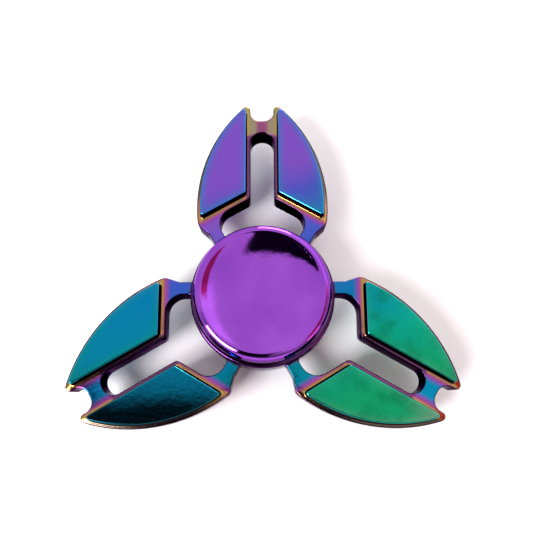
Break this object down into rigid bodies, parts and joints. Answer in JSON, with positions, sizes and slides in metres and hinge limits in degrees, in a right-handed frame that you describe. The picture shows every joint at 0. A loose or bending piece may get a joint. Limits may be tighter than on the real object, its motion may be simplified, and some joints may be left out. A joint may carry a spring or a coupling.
{
  "type": "fidget spinner",
  "caption": "Fidget spinner with slotted crab-claw arms in rainbow-plated metal, round a ball-bearing hub with dished purple finger caps.",
  "frame": {"origin": "middle of the bearing, on the spin axis", "axes": "+Z along the spin axis, out of the front cap; +Y along one arm; +X across it, to the right seen from the front"},
  "size_m": [0.0702, 0.0621, 0.0156],
  "materials": {
    "rainbow_plating": "polished rainbow plating, blue to violet to green",
    "purple_plating": "mirror purple plating",
    "bearing_steel": "ground steel",
    "shield_steel": "pressed steel",
    "cage_steel": "pressed steel, satin",
    "ball_steel": "polished"
  },
  "bodies": {
    "core": {"cap_top": "purple_plating", "cap_bottom": "purple_plating", "cap_stud": "bearing_steel", "bearing_inner_ring": "bearing_steel"},
    "rotor": {"frame": "rainbow_plating", "bearing_outer_ring": "bearing_steel", "shield_upper": "shield_steel", "shield_lower": "shield_steel"},
    "cage": {"cage_upper": "cage_steel", "cage_lower": "cage_steel", "cage_rivet_1": "cage_steel", "cage_rivet_2": "cage_steel", "cage_rivet_3": "cage_steel", "cage_rivet_4": "cage_steel", "cage_rivet_5": "cage_steel", "cage_rivet_6": "cage_steel", "cage_rivet_7": "cage_steel"},
    "ball_1": {"ball_1": "ball_steel"},
    "ball_2": {"ball_2": "ball_steel"},
    "ball_3": {"ball_3": "ball_steel"},
    "ball_4": {"ball_4": "ball_steel"},
    "ball_5": {"ball_5": "ball_steel"},
    "ball_6": {"ball_6": "ball_steel"},
    "ball_7": {"ball_7": "ball_steel"}
  },
  "joints": [
    {"name": "rotor_spin", "type": "hinge", "parent": "core", "child": "rotor", "pos_m": [0, 0, 0], "axis": [0, 0, 1], "continuous": true},
    {"name": "cage_orbit", "type": "hinge", "parent": "core", "child": "cage", "pos_m": [0, 0, 0], "axis": [0, 0, 1], "continuous": true},
    {"name": "ball_1_spin", "type": "hinge", "parent": "cage", "child": "ball_1", "pos_m": [0, 0.0075, 0], "axis": [0, 0, 1], "continuous": true},
    {"name": "ball_2_spin", "type": "hinge", "parent": "cage", "child": "ball_2", "pos_m": [-0.00586, 0.00468, 0], "axis": [0, 0, 1], "continuous": true},
    {"name": "ball_3_spin", "type": "hinge", "parent": "cage", "child": "ball_3", "pos_m": [-0.00731, -0.00167, 0], "axis": [0, 0, 1], "continuous": true},
    {"name": "ball_4_spin", "type": "hinge", "parent": "cage", "child": "ball_4", "pos_m": [-0.00325, -0.00676, 0], "axis": [0, 0, 1], "continuous": true},
    {"name": "ball_5_spin", "type": "hinge", "parent": "cage", "child": "ball_5", "pos_m": [0.00325, -0.00676, 0], "axis": [0, 0, 1], "continuous": true},
    {"name": "ball_6_spin", "type": "hinge", "parent": "cage", "child": "ball_6", "pos_m": [0.00731, -0.00167, 0], "axis": [0, 0, 1], "continuous": true},
    {"name": "ball_7_spin", "type": "hinge", "parent": "cage", "child": "ball_7", "pos_m": [0.00586, 0.00468, 0], "axis": [0, 0, 1], "continuous": true}
  ],
  "couplings": [
    {"joint": "cage_orbit", "follows": "rotor_spin", "ratio": 0.6323},
    {"joint": "ball_1_spin", "follows": "rotor_spin", "ratio": 1.7573},
    {"joint": "ball_2_spin", "follows": "rotor_spin", "ratio": 1.7573},
    {"joint": "ball_3_spin", "follows": "rotor_spin", "ratio": 1.7573},
    {"joint": "ball_4_spin", "follows": "rotor_spin", "ratio": 1.7573},
    {"joint": "ball_5_spin", "follows": "rotor_spin", "ratio": 1.7573},
    {"joint": "ball_6_spin", "follows": "rotor_spin", "ratio": 1.7573},
    {"joint": "ball_7_spin", "follows": "rotor_spin", "ratio": 1.7573}
  ]
}
